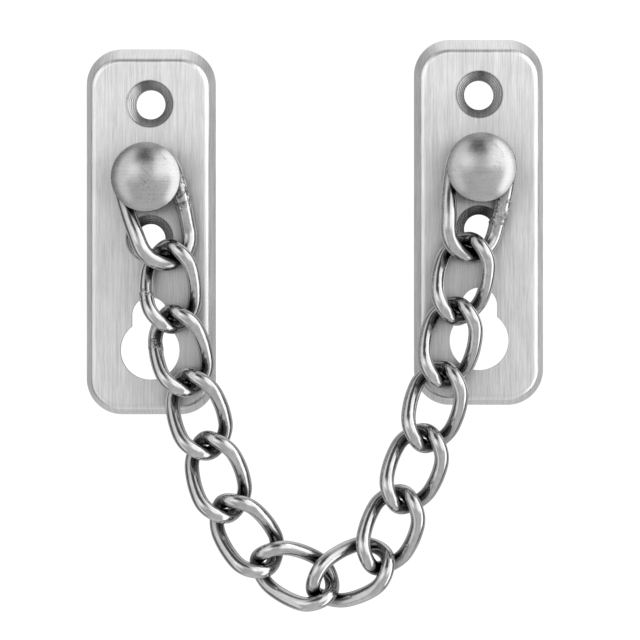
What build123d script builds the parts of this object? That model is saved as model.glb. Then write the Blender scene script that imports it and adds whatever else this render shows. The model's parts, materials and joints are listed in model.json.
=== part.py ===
"""Door chain guard: two pressed plates joined by a curb chain that is held on mushroom studs.

Millimetres. The plates lie on their backs on Z = 0 and face +Z, and +Y is up as they are used.
The origin is the middle of the left plate's two screw holes, on the mounting plane.
"""

import math
import os

from build123d import *

os.makedirs("parts", exist_ok=True)

# plates
plate_width = 25.4
plate_height = 71.8
plate_depth = 3.0
plate_corner = 7.0
sheet = 1.3
side_slope = 1.4
top_slope = 2.5
bottom_slope = 1.4
shoulder_round = 1.3

# openings, measured from the plate's centre
upper_screw_y = 24.9
lower_screw_y = -1.4
screw_radius = 2.9
countersink_radius = 4.6
boss_front_radius = 5.9
boss_back_radius = 4.4
keyhole_y = -23.2
keyhole_radius = 5.8
keyhole_lobe_y = -16.4
keyhole_lobe_radius = 3.55

# studs
stud_y = 10.2
neck_radius = 3.2
neck_length = 6.9
tenon_radius = 2.45
tenon_hole_radius = 2.5
head_radius = 6.7
head_edge = 0.7
dome_height = 2.9
dome_edge_round = 0.5
tail_radius = 4.0
tail_height = 1.1

# curb links
link_wire = 2.8
link_half_width = 4.7
link_half_length = 7.82
link_twist = 52.0

# rings round the studs
ring_wire = 3.1
ring_half_width = 5.35
ring_half_length = 10.9
ring_twist = 30.0
ring_hang = 0.5

# the chain's middle, in front of the mounting plane
chain_depth = 7.5

# the chain as it hangs: each piece's direction, and the play at each meeting
left_ring_angle = -74.2
link_angles = [-86.9, -75.7, -72.7, -73.0, -54.7, -24.3, 25.9, 68.8, 69.1, 74.4, 78.6, 78.8]
right_ring_angle = 81.4
play = [0.29, 0.18, 0.18, 0.18, 0.2, 0.34, 0.9, 0.62, 0.18, 0.18, 0.18, 0.18, 0.18]

left_plate_y = -(upper_screw_y + lower_screw_y) / 2
front = Plane.XY


def outline(depth, side, top, bottom):
    """The plate's rounded outline at a depth, drawn in from the rim by each given amount."""
    with BuildSketch(front.offset(depth)) as shape:
        with Locations((0, (bottom - top) / 2)):
            RectangleRounded(
                plate_width - 2 * side, plate_height - top - bottom, plate_corner - side
            )
    return shape.sketch


def make_plate():
    """A hollow pressed plate with two countersunk dimples, a stud hole and a keyhole."""
    floor_depth = plate_depth - sheet
    share = floor_depth / plate_depth
    wall = sheet * 1.1
    with BuildPart() as plate:
        rim = outline(0, 0, 0, 0)
        face = outline(plate_depth, side_slope, top_slope, bottom_slope)
        loft([rim, face], ruled=True)
        fillet(plate.faces().sort_by(Axis.Z)[-1].edges(), shoulder_round)
        rim = outline(0, wall, wall, wall)
        floor = outline(
            floor_depth,
            wall + side_slope * share,
            wall + top_slope * share,
            wall + bottom_slope * share,
        )
        loft([rim, floor], ruled=True, mode=Mode.SUBTRACT)
        for height in (upper_screw_y, lower_screw_y):
            with BuildSketch(front):
                with Locations((0, height)):
                    Circle(boss_back_radius)
            with BuildSketch(front.offset(floor_depth)):
                with Locations((0, height)):
                    Circle(boss_front_radius)
            loft(ruled=True)
        with Locations(front.offset(plate_depth)):
            with Locations((0, upper_screw_y), (0, lower_screw_y)):
                CounterSinkHole(screw_radius, countersink_radius, counter_sink_angle=90)
            with Locations((0, stud_y)):
                Hole(tenon_hole_radius)
        with BuildSketch(front.offset(plate_depth)):
            with Locations((0, keyhole_y)):
                Circle(keyhole_radius)
            with Locations((0, keyhole_lobe_y)):
                Circle(keyhole_lobe_radius)
            with Locations((0, (keyhole_y + keyhole_lobe_y) / 2)):
                Rectangle(2 * keyhole_lobe_radius, keyhole_lobe_y - keyhole_y)
        extrude(amount=-plate_depth, mode=Mode.SUBTRACT)
    return plate.part


def make_stud():
    """A mushroom stud on the Z axis: a riveted tail, a tenon, a neck and a domed head."""
    sheet_back = plate_depth - sheet - 0.02
    sheet_front = plate_depth + 0.02
    underside = plate_depth + neck_length
    edge = underside + head_edge
    crown = edge + dome_height
    dome_radius = (head_radius**2 + dome_height**2) / (2 * dome_height)
    half_turn = math.asin(head_radius / dome_radius) / 2
    middle = crown - dome_radius * (1 - math.cos(half_turn))
    with BuildPart() as stud:
        with BuildSketch(Plane.XZ):
            with BuildLine():
                Polyline(
                    (0, crown),
                    (0, sheet_back - tail_height),
                    (tail_radius - 0.8, sheet_back - tail_height),
                    (tail_radius, sheet_back - 0.3),
                    (tail_radius, sheet_back),
                    (tenon_radius, sheet_back),
                    (tenon_radius, sheet_front),
                    (neck_radius, sheet_front),
                    (neck_radius, underside),
                    (head_radius - 0.35, underside),
                    (head_radius, underside + 0.35),
                    (head_radius, edge),
                )
                ThreePointArc(
                    (head_radius, edge),
                    (dome_radius * math.sin(half_turn), middle),
                    (0, crown),
                )
            make_face()
        revolve(axis=Axis.Z)
        dome = stud.faces().filter_by(GeomType.SPHERE)[0]
        fillet(dome.edges().filter_by(GeomType.CIRCLE), dome_edge_round)
    return stud.part


def oval_points(half_width, half_length, count):
    """Evenly spaced (across, along) points round an oval with straight sides."""
    straight = half_length - half_width
    quarter_turn = math.pi * half_width
    lap = 4 * straight + 2 * quarter_turn
    points = []
    for step in range(count):
        run = lap * step / count
        side = 1 if run < lap / 2 else -1
        run -= 0 if side == 1 else lap / 2
        if run < 2 * straight:
            point = (half_width, run - straight)
        else:
            turn = (run - 2 * straight) / half_width
            point = (half_width * math.cos(turn), straight + half_width * math.sin(turn))
        points.append((side * point[0], side * point[1]))
    return points


def sweep_loop(points, wire):
    """Round wire swept along a closed smooth curve, in two halves that join end to end."""
    curve = Spline(*points, periodic=True)
    with BuildPart() as loop:
        for start in (0, 0.5):
            with BuildLine() as half:
                add(curve.trim(start, start + 0.5))
            with BuildSketch(Plane(half.line @ 0, z_dir=half.line % 0)):
                Circle(wire / 2)
            sweep(path=half.line)
    return loop.part


def make_link():
    """A curb link along Y: an oval wire loop, twisted one way along its length."""
    points = []
    for across, along in oval_points(link_half_width, link_half_length, 28):
        tilt = math.radians(link_twist) * along / link_half_length
        points.append((across * math.cos(tilt), along, across * math.sin(tilt)))
    return sweep_loop(points, link_wire)


def ease(share):
    """0 to 1 with level ends."""
    share = min(max(share, 0), 1)
    return share * share * (3 - 2 * share)


def make_ring():
    """A stud ring along Y: flat round the neck and twisted below it."""
    points = []
    for across, along in oval_points(ring_half_width, ring_half_length, 32):
        tilt = -math.radians(ring_twist) * ease((4 - along) / 11)
        points.append((across * math.cos(tilt), along, across * math.sin(tilt)))
    return sweep_loop(points, ring_wire)


def step_along(point, angle, distance):
    """The point a distance away in the chain's plane, at an angle from +X towards +Y."""
    turn = math.radians(angle)
    return (point[0] + distance * math.cos(turn), point[1] + distance * math.sin(turn))


def place(shape, x, y, height, angle, label):
    """A labelled copy of a shape, turned in the chain's plane and moved into place."""
    copy = Location((x, y, height)) * Rotation(0, 0, angle) * shape
    copy.label = label
    return copy


plate = make_plate()
stud = make_stud()
link = make_link()
ring = make_ring()

ring_reach = 2 * (ring_half_length - ring_half_width) + ring_half_width - ring_wire / 2
ring_centre = ring_half_length - ring_half_width + ring_hang
link_reach = link_half_length - link_wire / 2

pieces = []
left_stud = (0, left_plate_y + stud_y)
centre = step_along(left_stud, left_ring_angle, ring_centre)
pieces.append(place(ring, *centre, chain_depth, left_ring_angle + 90, "left_ring"))
pivot = step_along(left_stud, left_ring_angle, ring_reach + ring_hang - play[0] / 2)
pivots = [left_stud, pivot]

for number, angle in enumerate(link_angles):
    upper = link_reach - play[number] / 2
    lower = link_reach - play[number + 1] / 2
    centre = step_along(pivot, angle, upper)
    label = f"link_{number + 1:02d}"
    pieces.append(place(link, *centre, chain_depth, angle + 90, label))
    pivot = step_along(centre, angle, lower)
    pivots.append(pivot)

right_stud = step_along(pivot, right_ring_angle, ring_reach + ring_hang - play[-1] / 2)
centre = step_along(right_stud, right_ring_angle, -ring_centre)
pieces.append(place(ring, *centre, chain_depth, right_ring_angle - 90, "right_ring"))
pivots.append(right_stud)

for side, at in (("left", left_stud), ("right", right_stud)):
    pieces.append(place(plate, at[0], at[1] - stud_y, 0, 0, f"{side}_plate"))
    pieces.append(place(stud, at[0], at[1], 0, 0, f"{side}_stud"))

for piece in pieces:
    export_step(piece, f"parts/{piece.label}.step")

for spot in pivots:
    print(f"pivot {spot[0]:.4f} {spot[1]:.4f}")
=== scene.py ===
"""Looks for the door chain guard: steel finishes, weld beads, studio light and camera."""

import json
import math

import bpy
from mathutils import Matrix, Vector, noise


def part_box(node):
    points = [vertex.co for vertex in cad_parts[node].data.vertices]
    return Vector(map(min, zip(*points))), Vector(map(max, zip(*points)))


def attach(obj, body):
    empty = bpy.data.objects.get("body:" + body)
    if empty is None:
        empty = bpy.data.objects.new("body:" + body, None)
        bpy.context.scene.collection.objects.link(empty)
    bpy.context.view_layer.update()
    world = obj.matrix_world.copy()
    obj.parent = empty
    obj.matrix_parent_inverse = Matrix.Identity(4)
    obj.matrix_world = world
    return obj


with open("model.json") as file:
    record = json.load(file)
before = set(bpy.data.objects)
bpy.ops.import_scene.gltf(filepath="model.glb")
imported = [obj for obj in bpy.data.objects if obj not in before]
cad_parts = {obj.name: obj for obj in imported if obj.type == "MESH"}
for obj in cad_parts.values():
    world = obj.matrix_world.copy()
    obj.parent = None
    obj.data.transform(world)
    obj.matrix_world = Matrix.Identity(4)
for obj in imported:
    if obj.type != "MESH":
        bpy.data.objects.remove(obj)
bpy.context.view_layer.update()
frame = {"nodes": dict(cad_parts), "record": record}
MM = 0.001

# ---------------------------------------------------------------- sizes

# In metres, measured up the plate from the middle of its length.
STUD_HEIGHT = 0.0102
SCREW_HEIGHTS = (0.0249, -0.0014)
COUNTERSINK_RADIUS = 0.0046

# In mm and degrees.
LINK_WIRE = 2.8
LINK_HALF_WIDTH = 4.7
LINK_HALF_LENGTH = 7.82
LINK_TWIST = 52
RING_WIRE = 3.1
RING_HALF_WIDTH = 5.35
RING_HALF_LENGTH = 10.9
RING_TWIST = 30
RING_REACH = 6.05  # from a ring's joint on its stud to the ring's middle

# ---------------------------------------------------------------- camera

camera_data = bpy.data.cameras.new("camera")
camera_data.sensor_width = 36.0
camera_data.lens = 111.5
camera_data.shift_x = -0.0597
camera_data.shift_y = -0.0469
camera_data.clip_start = 0.01
camera_data.clip_end = 50.0
camera = bpy.data.objects.new("camera", camera_data)
camera.location = (0.0407, -0.0232, 0.390)
bpy.context.scene.collection.objects.link(camera)
bpy.context.scene.camera = camera

view = bpy.context.scene.view_settings
view.view_transform = "Standard"
view.look = "None"

# ---------------------------------------------------------------- node helpers


class Nodes:
    """Adds nodes to a node tree and links them."""

    def __init__(self, tree):
        self.tree = tree
        tree.nodes.clear()

    def add(self, kind, inputs=None, **settings):
        node = self.tree.nodes.new(kind)
        for name, value in settings.items():
            setattr(node, name, value)
        for name, value in (inputs or {}).items():
            if isinstance(value, bpy.types.NodeSocket):
                self.tree.links.new(value, node.inputs[name])
            else:
                node.inputs[name].default_value = value
        return node

    def math(self, operation, first, second=0.5):
        """The operation's result on two values, or on the first where it takes only one."""
        return self.add("ShaderNodeMath", {0: first, 1: second}, operation=operation).outputs[0]

    def spread(self, value, low, high, to_low=0.0, to_high=1.0):
        """Maps low..high to to_low..to_high, clamped."""
        inputs = {
            "Value": value,
            "From Min": low,
            "From Max": high,
            "To Min": to_low,
            "To Max": to_high,
        }
        return self.add("ShaderNodeMapRange", inputs).outputs[0]

    def noise(self, coordinates, scale, detail=2.0, rough=0.5, turn=0.0):
        """Noise over coordinates turned about Z, with its scale in 1/m along X, Y and Z."""
        turned = self.add("ShaderNodeMapping", {"Vector": coordinates, "Rotation": (0, 0, turn)})
        inputs = {"Vector": turned.outputs[0], "Scale": scale}
        stretched = self.add("ShaderNodeMapping", inputs)
        inputs = {
            "Vector": stretched.outputs[0],
            "Scale": 1.0,
            "Detail": detail,
            "Roughness": rough,
        }
        return self.add("ShaderNodeTexNoise", inputs).outputs[0]

    def product(self, *values):
        """All the values multiplied together."""
        result = values[0]
        for value in values[1:]:
            result = self.math("MULTIPLY", result, value)
        return result


# ---------------------------------------------------------------- steel finishes

BRUSHED_ANISOTROPY = 0.7
TURNED_RING_PITCH = 0.00034

stud_boxes = [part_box("left_stud"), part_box("right_stud")]
studs = [((low[0] + high[0]) / 2, (low[1] + high[1]) / 2) for low, high in stud_boxes]
screw_holes = [(x, y - STUD_HEIGHT + height) for x, y in studs for height in SCREW_HEIGHTS]


def painted_crevice_shade(n, distance, darkest, closed=0.15, open_air=0.85):
    """Painted shade: 1 on open surfaces, falling to darkest where other metal is close by."""
    shelter = n.add("ShaderNodeAmbientOcclusion", {"Distance": distance}, samples=8)
    return n.spread(shelter.outputs["AO"], closed, open_air, darkest, 1.0)


def hole_masks(n, place):
    """The screw holes' countersinks, turned rings round each hole, and countersink rims."""
    flat = n.add("ShaderNodeVectorMath", {0: place, 1: (1, 1, 0)}, operation="MULTIPLY")
    nearest = None
    for x, y in screw_holes:
        inputs = {0: flat.outputs[0], 1: (x, y, 0)}
        reach = n.add("ShaderNodeVectorMath", inputs, operation="DISTANCE").outputs["Value"]
        nearest = reach if nearest is None else n.math("MINIMUM", nearest, reach)
    edge = COUNTERSINK_RADIUS
    inside = n.spread(nearest, edge - 0.08 * MM, edge + 0.04 * MM, 1.0, 0.0)
    rise = n.spread(nearest, edge - 0.24 * MM, edge - 0.04 * MM)
    fall = n.spread(nearest, edge + 0.02 * MM, edge + 0.2 * MM, 1.0, 0.0)
    rings = n.math("SINE", n.math("MULTIPLY", nearest, 2 * math.pi / TURNED_RING_PITCH), 0.0)
    return inside, rings, n.product(rise, fall)


def finish_steel(n, shade, rough, height, depth, anisotropy=0.0):
    """The metal shader, from grey shade, roughness and bump height up to a depth in metres.

    Anisotropy stretches the reflections of steel that is brushed along Y.
    """
    colour = n.add("ShaderNodeCombineColor", {0: shade, 1: shade, 2: shade}).outputs[0]
    bump = n.add("ShaderNodeBump", {"Strength": 1.0, "Distance": depth, "Height": height})
    inputs = {"Base Color": colour, "Metallic": 1.0, "Roughness": rough}
    inputs["Normal"] = bump.outputs[0]
    if anisotropy:
        across = n.add(
            "ShaderNodeVectorTransform",
            {"Vector": (1, 0, 0)},
            vector_type="VECTOR",
            convert_from="OBJECT",
            convert_to="WORLD",
        )
        inputs["Anisotropic"] = anisotropy
        inputs["Tangent"] = across.outputs[0]
    shader = n.add("ShaderNodeBsdfPrincipled", inputs)
    n.add("ShaderNodeOutputMaterial", {"Surface": shader.outputs[0]})


def new_material(name):
    """A material, its nodes, and the surface's place and normal in the object's frame."""
    material = bpy.data.materials.new(name)
    material.use_nodes = True
    n = Nodes(material.node_tree)
    coordinates = n.add("ShaderNodeTexCoord")
    return material, n, coordinates.outputs["Object"], coordinates.outputs["Normal"]


def facing_out(n, normal):
    """1 where the surface faces out of the door or into it, and 0 where it faces sideways."""
    return n.math("ABSOLUTE", n.add("ShaderNodeSeparateXYZ", {0: normal}).outputs[2], 0.0)


def mix(n, first, second, share):
    """The first value, and the second's share mixed into it."""
    return n.math("ADD", n.math("MULTIPLY", first, 1 - share), n.math("MULTIPLY", second, share))


def even_noise(n, place, scale, detail=2.0, rough=0.5, turn=0.0):
    """Noise of the same scale in all directions."""
    return n.noise(place, (scale, scale, scale), detail, rough, turn)


def make_plate_steel():
    """Sheet brushed along the plate, with turned countersinks and small dark specks, and painted
    shade in the countersinks, along their rims, on sideways walls and near other metal.
    """
    material, n, place, normal = new_material("plate_steel")
    fine = n.noise(place, (10500, 240, 300), 3.0, 0.7)
    broad = n.noise(place, (3600, 80, 120), 2.0, 0.5)
    clouds = n.noise(place, (70, 110, 70), 3.0, 0.5)
    specks = n.noise(place, (2600, 1900, 2600), 2.0, 0.7)
    grain = mix(n, fine, broad, 0.38)
    sunk, rings, rim = hole_masks(n, place)
    tone = n.product(
        n.spread(grain, 0.35, 0.65, 0.71, 1.04),
        n.spread(clouds, 0.3, 0.7, 0.95, 1.04),
        n.spread(specks, 0.68, 0.8, 1.0, 0.7),
        # Painted shade: the countersinks darker, with a dark line along their rims.
        n.spread(sunk, 0, 1, 1.0, 0.68),
        n.spread(rim, 0, 1, 1.0, 0.6),
        n.spread(n.product(rings, sunk), -1, 1, 0.86, 1.14),
        # Painted shade: a soft contact shadow round the heads, rings and chain, and darker
        # narrow gaps.
        painted_crevice_shade(n, 0.014, 0.55, 0.3, 1.0),
        painted_crevice_shade(n, 0.003, 0.4),
        # Painted shade: walls and rims that face sideways are darkened.
        n.spread(facing_out(n, normal), 0.02, 0.2, 0.4, 1.0),
    )
    rough = n.math("ADD", n.spread(grain, 0.3, 0.7, 0.27, 0.37), n.math("MULTIPLY", sunk, -0.07))
    streaks = n.product(grain, n.math("SUBTRACT", 1.0, sunk))
    height = n.math("ADD", streaks, n.product(rings, sunk, 0.6))
    finish_steel(n, tone, rough, height, 0.008 * MM, BRUSHED_ANISOTROPY)
    return material


def make_stud_steel():
    """A turned head with fine crossing scratches and a few deeper nicks, and painted shade near
    other metal and on its sideways-facing edge.
    """
    material, n, place, normal = new_material("stud_steel")
    level = n.noise(place, (160, 4200, 160), 3.0, 0.6)
    slant = n.noise(place, (3800, 150, 3800), 3.0, 0.6, math.radians(38))
    clouds = even_noise(n, place, 150, 3.0)
    specks = even_noise(n, place, 3000, 2.0, 0.7)
    scratch = mix(n, level, slant, 0.5)
    nicks = n.noise(place, (5200, 330, 5200), 1.0, 0.5, math.radians(-48))
    patches = even_noise(n, place, 260, 1.0, 0.5, 0.4)
    marks = n.product(n.spread(nicks, 0.62, 0.7), n.spread(patches, 0.52, 0.6))
    tone = n.product(
        n.spread(scratch, 0.34, 0.66, 0.47, 0.61),
        n.spread(clouds, 0.3, 0.7, 0.94, 1.05),
        n.spread(specks, 0.7, 0.82, 1.0, 0.75),
        # Painted shade: darker where other metal is close by.
        painted_crevice_shade(n, 0.003, 0.3),
        n.spread(marks, 0, 1, 1.0, 0.6),
        # Painted shade: the head's sideways-facing edge is darkened into a dark outline.
        n.spread(facing_out(n, normal), 0.15, 0.55, 0.3, 1.0),
    )
    rough = n.spread(scratch, 0.3, 0.7, 0.24, 0.34)
    finish_steel(n, tone, rough, scratch, 0.004 * MM)
    return material


def make_wire_steel(name, tones, roughnesses, lump_scale, depth):
    """Wire with dents, lumps and specks, and painted shade where other metal is close by."""
    material, n, place, _ = new_material(name)
    dents = even_noise(n, place, 420, 3.0, 0.55)
    lumps = even_noise(n, place, lump_scale, 4.0, 0.65)
    specks = even_noise(n, place, 2400, 2.0, 0.7)
    mixed = mix(n, dents, lumps, 0.55)
    tone = n.product(
        n.spread(mixed, 0.33, 0.67, *tones),
        n.spread(specks, 0.68, 0.8, 1.0, 0.72),
        # Painted shade: near black where other metal is close by, as inside the interlocks.
        painted_crevice_shade(n, 0.0048, 0.03, 0.36, 0.95),
    )
    finish_steel(n, tone, n.spread(mixed, 0.3, 0.7, *roughnesses), mixed, depth)
    return material


plate_steel = make_plate_steel()
stud_steel = make_stud_steel()
# The chain is polished by tumbling, with faint dents. Its welds are rough and mottled.
chain_steel = make_wire_steel("chain_steel", (0.5, 0.66), (0.09, 0.17), 1100, 0.006 * MM)
weld_steel = make_wire_steel("weld_steel", (0.08, 0.82), (0.14, 0.3), 1500, 0.18 * MM)

for name, node in frame["nodes"].items():
    if name.endswith("plate"):
        finish = plate_steel
    elif name.endswith("stud"):
        finish = stud_steel
    else:
        finish = chain_steel
    node.data.materials.clear()
    node.data.materials.append(finish)

# ---------------------------------------------------------------- welds on the rings and links

SLEEVE_ROWS = 60
SLEEVE_SIDES = 48
SLEEVE_SUNK = 0.11  # mm that the sleeve's thin ends lie under the wire's surface
SLEEVE_PROUD = 0.38  # mm that its lumps may stand over the wire's surface
RING_WELD_HEIGHT = 0.22
LINK_WELD_HEIGHT = 0.15


def ease(share):
    """A smooth step from 0 to 1."""
    share = min(max(share, 0), 1)
    return share * share * (3 - 2 * share)


def strand_point(side, along, half_width, half_length, tilt):
    """A point on an oval loop's strand, in mm, on the right for side 1, the left for -1."""
    beyond = max(abs(along) - half_length + half_width, 0)
    across = side * math.sqrt(max(half_width**2 - beyond**2, 0))
    return Vector((across * math.cos(tilt), along, across * math.sin(tilt)))


def ring_point(side, along):
    """A point on a ring, which is flat at its upper end and twists towards its lower end."""
    tilt = -math.radians(RING_TWIST) * ease((4 - along) / 11)
    return strand_point(side, along, RING_HALF_WIDTH, RING_HALF_LENGTH, tilt)


def link_point(side, along):
    """A point on a link, which twists evenly along its length."""
    tilt = math.radians(LINK_TWIST) * along / LINK_HALF_LENGTH
    return strand_point(side, along, LINK_HALF_WIDTH, LINK_HALF_LENGTH, tilt)


def weld(body, upper, lower, reach, point_on, side, top, bottom, wire, height, seed):
    """A rough closed sleeve of weld round a strand, thin at both ends.

    The strand belongs to the loop that hangs from the upper to the lower joint, with its
    middle a given reach from the upper one. The weld lies between top and bottom, in mm up
    the loop from its middle.
    """
    name = body + "_weld"
    rows, around = SLEEVE_ROWS, SLEEVE_SIDES
    hang = lower - upper
    centre = upper + hang.normalized() * reach
    turn = Matrix.Rotation(math.atan2(hang.y, hang.x) + math.pi / 2, 3, "Z")
    points = []
    for i in range(rows):
        along = top + (bottom - top) * i / (rows - 1)
        points.append(turn @ point_on(side, along) + centre)
    vertices, faces = [], []
    for i, point in enumerate(points):
        before, after = points[max(i - 1, 0)], points[min(i + 1, rows - 1)]
        along = (after - before).normalized()
        level = along.cross(Vector((0, 0, 1))).normalized()
        out = level.cross(along).normalized()
        swell = math.sin(math.pi * i / (rows - 1)) ** 0.5
        for j in range(around):
            round_at = 2 * math.pi * j / around
            away = level * math.cos(round_at) + out * math.sin(round_at)
            at = point * 0.95 + away * 1.1 + Vector((seed, 0, 0))
            lumps = noise.fractal(at, 0.65, 2.1, 5)
            ripple = 0.12 * math.sin(i * 0.6 + 5 * lumps + round_at)
            radius = wire / 2 - SLEEVE_SUNK + swell * height * (0.8 + 1.1 * lumps + ripple)
            vertices.append((point + away * min(radius, wire / 2 + SLEEVE_PROUD)) * MM)
    for i in range(rows - 1):
        for j in range(around):
            k = (j + 1) % around
            row, next_row = i * around, (i + 1) * around
            faces.append((row + j, next_row + j, next_row + k, row + k))
    vertices += [points[0] * MM, points[-1] * MM]
    first_cap, last_cap = len(vertices) - 2, len(vertices) - 1
    last_row = (rows - 1) * around
    for j in range(around):
        k = (j + 1) % around
        faces.append((first_cap, j, k))
        faces.append((last_cap, last_row + k, last_row + j))
    mesh = bpy.data.meshes.new(name)
    mesh.from_pydata([tuple(v) for v in vertices], [], faces)
    mesh.shade_smooth()
    mesh.materials.append(weld_steel)
    bead = bpy.data.objects.new(name, mesh)
    bpy.context.scene.collection.objects.link(bead)
    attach(bead, body)


spots = [Vector(joint["pos_m"]) / MM for joint in frame["record"]["behaviour"]["joints"]]
ring = {"reach": RING_REACH, "point_on": ring_point, "side": 1}
ring.update(wire=RING_WIRE, height=RING_WELD_HEIGHT)
weld("left_ring", spots[0], spots[1], top=5.6, bottom=-2.2, seed=0.0, **ring)
weld("right_ring", spots[-1], spots[-2], top=1.6, bottom=-5.4, seed=7.0, **ring)
link = {"point_on": link_point, "side": -1, "wire": LINK_WIRE, "height": LINK_WELD_HEIGHT}
for number, middle in ((1, -1.9), (2, 1.9)):
    upper, lower = spots[number], spots[number + 1]
    reach = (lower - upper).length / 2
    ends = {"top": middle + 1.5, "bottom": middle - 1.5}
    weld(f"link_{number:02d}", upper, lower, reach, seed=11.0 + number, **ends, **link)

# ---------------------------------------------------------------- light and background

# The studio that the steel reflects is a world of grey levels by azimuth, from straight
# ahead of the object towards its right, and elevation, both in degrees.
world = bpy.data.worlds.new("studio")
bpy.context.scene.world = world
world.use_nodes = True
w = Nodes(world.node_tree)
direction = w.add("ShaderNodeTexCoord").outputs["Generated"]
right, up, ahead = w.add("ShaderNodeSeparateXYZ", {0: direction}).outputs[:3]
azimuth = w.math("MULTIPLY", w.math("ARCTAN2", right, ahead), 180 / math.pi)
elevation = w.math("MULTIPLY", w.math("ARCSINE", up, 0.0), 180 / math.pi)
off_centre = w.math("ABSOLUTE", azimuth, 0.0)


def by_elevation(stops):
    """Brightness by elevation, through stops of (degrees, brightness up to 2)."""
    low, high = stops[0][0], stops[-1][0]
    node = w.add("ShaderNodeValToRGB", {"Fac": w.spread(elevation, low, high)})
    elements = node.color_ramp.elements
    while len(elements) < len(stops):
        elements.new(0.5)
    for element, (at, brightness) in zip(elements, stops):
        element.position = (at - low) / (high - low)
        element.color = (brightness / 2, brightness / 2, brightness / 2, 1)
    return w.math("MULTIPLY", node.outputs[0], 2.0)


def band(value, low, high, edge):
    """1 between low and high, fading to 0 over an edge on both sides."""
    rise = w.spread(value, low - edge, low + edge)
    fall = w.spread(value, high - edge, high + edge, 1.0, 0.0)
    return w.math("MULTIPLY", rise, fall)


def blend(amount, below, above):
    """Below where the amount is 0, above where it is 1."""
    rest = w.math("SUBTRACT", 1.0, amount)
    return w.math("ADD", w.math("MULTIPLY", rest, below), w.math("MULTIPLY", amount, above))


surroundings = w.spread(ahead, -0.7, 0.3, 0.5, 0.36)
surroundings = blend(w.spread(elevation, -70, -40, 1.0, 0.0), surroundings, 0.75)
middle_light = by_elevation(
    [(-90, 0.7), (-25, 0.66), (-6, 0.56), (4, 0.66), (12, 0.75), (40, 0.65), (90, 0.62)]
)
side_light = by_elevation(
    [(-90, 0.5), (-45, 0.62), (-8, 0.72), (3, 1.15), (10, 1.6), (50, 1.4), (90, 1.0)]
)
dim_side_light = w.math("MULTIPLY", side_light, 0.88)

# Each area of the studio lies over the ones before it.
middle = band(azimuth, -44, 44, 7)
left_panel = w.product(band(azimuth, -56, -19, 7), band(elevation, -50, 56, 8))
right_panel = w.product(band(azimuth, 19, 64, 7), band(elevation, -50, 56, 8))
gap_over_panels = w.product(band(elevation, 36, 77, 7), band(azimuth, -40, 22, 9))
overhead = w.spread(elevation, 77, 84)
high_at_the_back = w.product(w.spread(off_centre, 120, 150), band(elevation, 35, 80, 6))
dark_edges = w.product(band(off_centre, 92, 114, 3), band(elevation, -60, 60, 8))
left_softbox = w.product(band(azimuth, -78, -50, 2), band(elevation, -50, 62, 5))
right_softbox = w.product(band(azimuth, 60, 90, 2), band(elevation, -50, 62, 5))

level = surroundings
for area, brightness in (
    (middle, middle_light),
    (left_panel, dim_side_light),
    (right_panel, side_light),
    (gap_over_panels, 0.1),
    (overhead, 0.66),
    (high_at_the_back, 0.95),
    (dark_edges, 0.1),
    (left_softbox, 1.0),
    (right_softbox, 1.95),
):
    level = blend(area, level, brightness)
grey = w.add("ShaderNodeCombineColor", {0: level, 1: level, 2: level})
studio = w.add("ShaderNodeBackground", {"Color": grey.outputs[0], "Strength": 1.0})
w.add("ShaderNodeOutputWorld", {"Surface": studio.outputs[0]})


def glow(name, strength):
    """A plain white glowing material."""
    material = bpy.data.materials.new(name)
    material.use_nodes = True
    n = Nodes(material.node_tree)
    light = n.add("ShaderNodeEmission", {"Color": (1, 1, 1, 1), "Strength": strength})
    n.add("ShaderNodeOutputMaterial", {"Surface": light.outputs[0]})
    return material


def studio_room(name, low, high, material):
    """A plain room that only the camera sees: it isn't reflected and casts no shadow."""
    rises, depths, widths = (low[2], high[2]), (low[1], high[1]), (low[0], high[0])
    corners = [(x, y, z) for z in rises for y in depths for x in widths]
    sides = [(0, 1, 3, 2), (4, 6, 7, 5), (0, 4, 5, 1), (2, 3, 7, 6), (0, 2, 6, 4), (1, 5, 7, 3)]
    mesh = bpy.data.meshes.new(name)
    mesh.from_pydata(corners, [], sides)
    mesh.materials.append(material)
    room = bpy.data.objects.new(name, mesh)
    bpy.context.scene.collection.objects.link(room)
    room.visible_glossy = False
    room.visible_diffuse = False
    room.visible_shadow = False
    room.visible_transmission = False


studio_room("floor_and_backdrop", (-4, -4, -0.3), (4, 4, 4), glow("background_white", 1.05))
